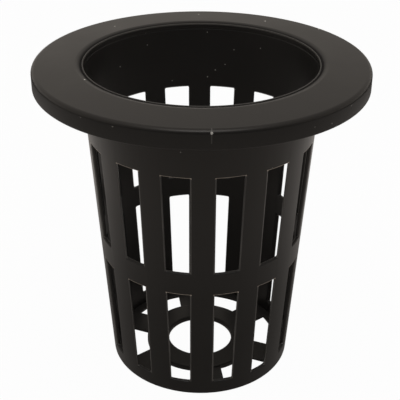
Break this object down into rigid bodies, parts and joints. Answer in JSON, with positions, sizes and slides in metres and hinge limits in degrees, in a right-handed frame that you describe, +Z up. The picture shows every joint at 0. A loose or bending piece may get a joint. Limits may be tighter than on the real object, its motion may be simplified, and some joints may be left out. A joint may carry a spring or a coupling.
{
  "type": "net cup",
  "caption": "Black plastic net cup for a hydroponic planter: tapered slotted basket with a wide flat lip, a spoked floor and a round drain hole.",
  "frame": {"origin": "centre of the base, on the plane that the cup stands on", "axes": "+Z up along the cup's axis, -Y towards the front, where a stave of the wall stands"},
  "size_m": [0.07, 0.07, 0.0713],
  "materials": {
    "cup_plastic": "moulded black polypropylene, satin"
  },
  "bodies": {
    "root": {"lip_flange": "cup_plastic", "lip_skirt": "cup_plastic", "collar": "cup_plastic", "upper_stave_01": "cup_plastic", "upper_stave_02": "cup_plastic", "upper_stave_03": "cup_plastic", "upper_stave_04": "cup_plastic", "upper_stave_05": "cup_plastic", "upper_stave_06": "cup_plastic", "upper_stave_07": "cup_plastic", "upper_stave_08": "cup_plastic", "upper_stave_09": "cup_plastic", "upper_stave_10": "cup_plastic", "upper_stave_11": "cup_plastic", "upper_stave_12": "cup_plastic", "upper_stave_13": "cup_plastic", "upper_stave_14": "cup_plastic", "middle_hoop": "cup_plastic", "lower_stave_01": "cup_plastic", "lower_stave_02": "cup_plastic", "lower_stave_03": "cup_plastic", "lower_stave_04": "cup_plastic", "lower_stave_05": "cup_plastic", "lower_stave_06": "cup_plastic", "lower_stave_07": "cup_plastic", "lower_stave_08": "cup_plastic", "lower_stave_09": "cup_plastic", "lower_stave_10": "cup_plastic", "lower_stave_11": "cup_plastic", "lower_stave_12": "cup_plastic", "lower_stave_13": "cup_plastic", "lower_stave_14": "cup_plastic", "foot_band": "cup_plastic", "floor_ledge": "cup_plastic", "floor_spoke_1": "cup_plastic", "floor_spoke_2": "cup_plastic", "floor_spoke_3": "cup_plastic", "floor_spoke_4": "cup_plastic", "floor_spoke_5": "cup_plastic", "floor_spoke_6": "cup_plastic", "drain_ring": "cup_plastic"}
  },
  "joints": []
}
